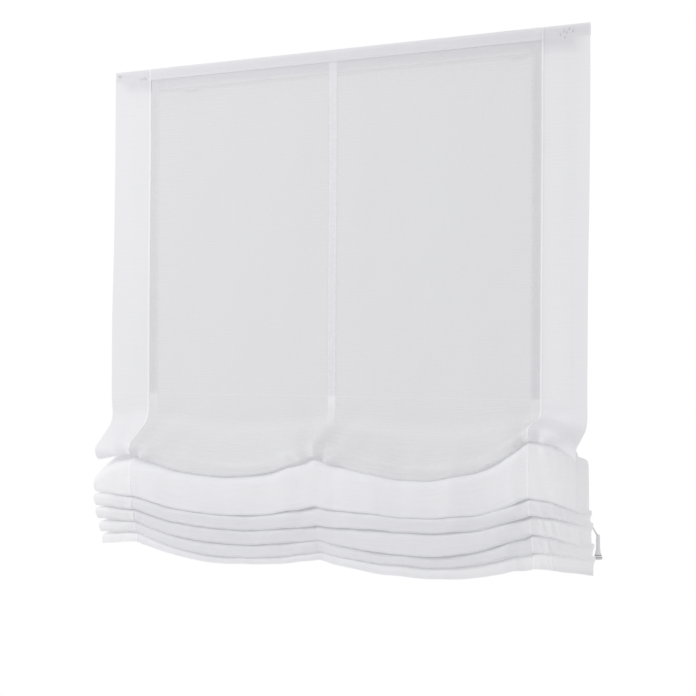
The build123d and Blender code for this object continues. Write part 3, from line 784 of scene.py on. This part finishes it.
# Weight cord: a soft braided cord that lies close behind the bottom hem, from one side edge to the other.
# It is caught in the hem and rides up with the folds.
HEM_CORD_RADIUS = 0.0025
HEM_CORD_BEHIND = 0.005
HEM_CORD_INSET = 0.003
HEM_CORD_POINTS = 121
hem_end = LIFT_X + BAND_WIDTH - HEM_CORD_INSET
hem_path = []
for x in np.linspace(-hem_end, hem_end, HEM_CORD_POINTS):
    hem_edge = fold_line(x, 0.0)[0][-1]
    hem_path.append((x, hem_edge[1] + HEM_CORD_BEHIND, hem_edge[2] + HEM_CORD_RADIUS))
hem_cord = tube("hem_weight_cord", hem_path, HEM_CORD_RADIUS)
hem_cord.data.materials.append(cord_material)
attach(hem_cord, "fold_stack")
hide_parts("hem_weight")

# Corner stitches: short tacks of sewing thread at the two top corners.
# They hold the header's corners to the loop tape behind them.
# Spun thread: thin, matt and a little darker than the cloth
thread_material = grained_material(
    "tacking_thread", "c4c4c8", "dadade", grain_m=0.0008, roughness=0.8, bump_m=0.0001
)
THREAD_RADIUS = 0.0004
STITCH_LENGTH = 0.0050
STITCH_FORWARD = 0.0008
STITCH_LEAN_SHARE = 0.4
STITCH_TURN = 2.3
stitch_places = [(-0.492, 0.012), (-0.488, 0.010), (-0.436, 0.002), (-0.431, 0.003), (-0.426, 0.002)]
stitch_places += [(0.447, 0.004), (0.452, 0.009), (0.458, 0.006)]
stitch_places += [(0.463, 0.012), (0.468, 0.008), (0.455, -0.002)]
for number, (x, z) in enumerate(stitch_places):
    lean = STITCH_LENGTH * STITCH_LEAN_SHARE * math.sin(STITCH_TURN * number)
    ends = [
        (x, CLOTH_Y - STITCH_FORWARD, z),
        (x + lean / 2, CLOTH_Y - 2 * STITCH_FORWARD, z + STITCH_LENGTH / 2),
        (x + lean, CLOTH_Y - STITCH_FORWARD, z + STITCH_LENGTH),
    ]
    stitch = tube(f"corner_stitch_{number + 1}", ends, THREAD_RADIUS, sides=6)
    stitch.data.materials.append(thread_material)
    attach(stitch, "headrail_unit")

# Rail, brackets, lock, pulleys, rings and bell: the hard parts behind the cloth, as packed.
# They are coated aluminium, zinced steel and moulded plastic, and each node gets its finish here.
# Powder-coated aluminium: an even satin white
rail_material = grained_material("white_powder_coat", "f2f2f2", "f9f9f9", grain_m=0.0008, roughness=0.45)
# Zinc-plated steel: cool, bright grey, drawn along its length
steel_material = grained_material(
    "bright_zinc", "a8abae", "c4c7ca", grain_m=0.0020, roughness=0.35, metallic=1.0, stretch=(0.2, 1, 1)
)
# Moulded plastic: smooth warm white, half gloss
plastic_material = grained_material("white_moulding", "e9e9e6", "f4f4f2", grain_m=0.0015, roughness=0.4)
# Moulded bell: glossy pale grey with two darker ribs round its foot
bell_material = empty_material("ribbed_moulding")
bell_place = add_node(bell_material, "ShaderNodeTexCoord")
bell_height = add_node(bell_material, "ShaderNodeSeparateXYZ", {"Vector": bell_place.outputs["Object"]})
bell_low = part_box("cord_bell")[0].z
RIB_HEIGHTS = (0.0035, 0.0075)
RIB_HALF_WIDTH = 0.0007
ribs = 0.0
for above in RIB_HEIGHTS:
    rib = add_node(
        bell_material,
        "ShaderNodeMath",
        {0: bell_height.outputs["Z"], 1: bell_low + above, 2: RIB_HALF_WIDTH},
        operation="COMPARE",
    )
    ribs = add_node(bell_material, "ShaderNodeMath", {0: rib.outputs[0], 1: ribs}, operation="ADD").outputs[0]
bell_tint = add_node(
    bell_material, "ShaderNodeMixRGB", {"Fac": ribs, "Color1": linear("e8e8ea"), "Color2": linear("8e8e92")}
)
finish_material(bell_material, {"Base Color": bell_tint.outputs["Color"], "Roughness": 0.25})
finishes = {
    "rail_metal": rail_material,
    "steel": steel_material,
    "white_plastic": plastic_material,
    "bell_plastic": bell_material,
    "tape": tape_material,
    "cord": cord_material,
}
for entry in frame["record"]["subparts"]:
    node = nodes[entry["node"]]
    if entry["material_slot"] in finishes and not node.hide_render:
        node.data.materials.clear()
        node.data.materials.append(finishes[entry["material_slot"]])

# Studio: an even pale surround, seen as white, and one broad soft light in front, above and to the left.
# Light that the cloth scatters comes from the pale surround; the eye, metal and clear things see the white.
world = bpy.data.worlds.new("studio")
bpy.context.scene.world = world
world.use_nodes = True
world.node_tree.nodes.clear()
light_path = add_node(world, "ShaderNodeLightPath")
surround = add_node(world, "ShaderNodeBackground", {"Color": linear("f6f6f8"), "Strength": 0.83})
white = add_node(world, "ShaderNodeBackground", {"Color": (1, 1, 1, 1), "Strength": 1.0})
clear_ray = add_node(
    world,
    "ShaderNodeMath",
    {0: light_path.outputs["Is Transmission Ray"], 1: light_path.outputs["Is Diffuse Ray"]},
    operation="SUBTRACT",
)
sees_white = light_path.outputs["Is Camera Ray"]
for ray in (light_path.outputs["Is Glossy Ray"], clear_ray.outputs[0]):
    sees_white = add_node(world, "ShaderNodeMath", {0: sees_white, 1: ray}, operation="MAXIMUM").outputs[0]
chosen = add_node(
    world, "ShaderNodeMixShader", {0: sees_white, 1: surround.outputs[0], 2: white.outputs[0]}
)
add_node(world, "ShaderNodeOutputWorld", {"Surface": chosen.outputs[0]})
key = bpy.data.lights.new("key", "AREA")
key.shape = "RECTANGLE"
key.size = 2.2
key.size_y = 1.6
key.energy = 36
key_light = bpy.data.objects.new("key", key)
key_light.location = (-2.0, -2.3, 0.9)
key_aim = Vector((0.0, -0.05, -0.4)) - key_light.location
key_light.rotation_euler = key_aim.to_track_quat("-Z", "Y").to_euler()
collection.objects.link(key_light)
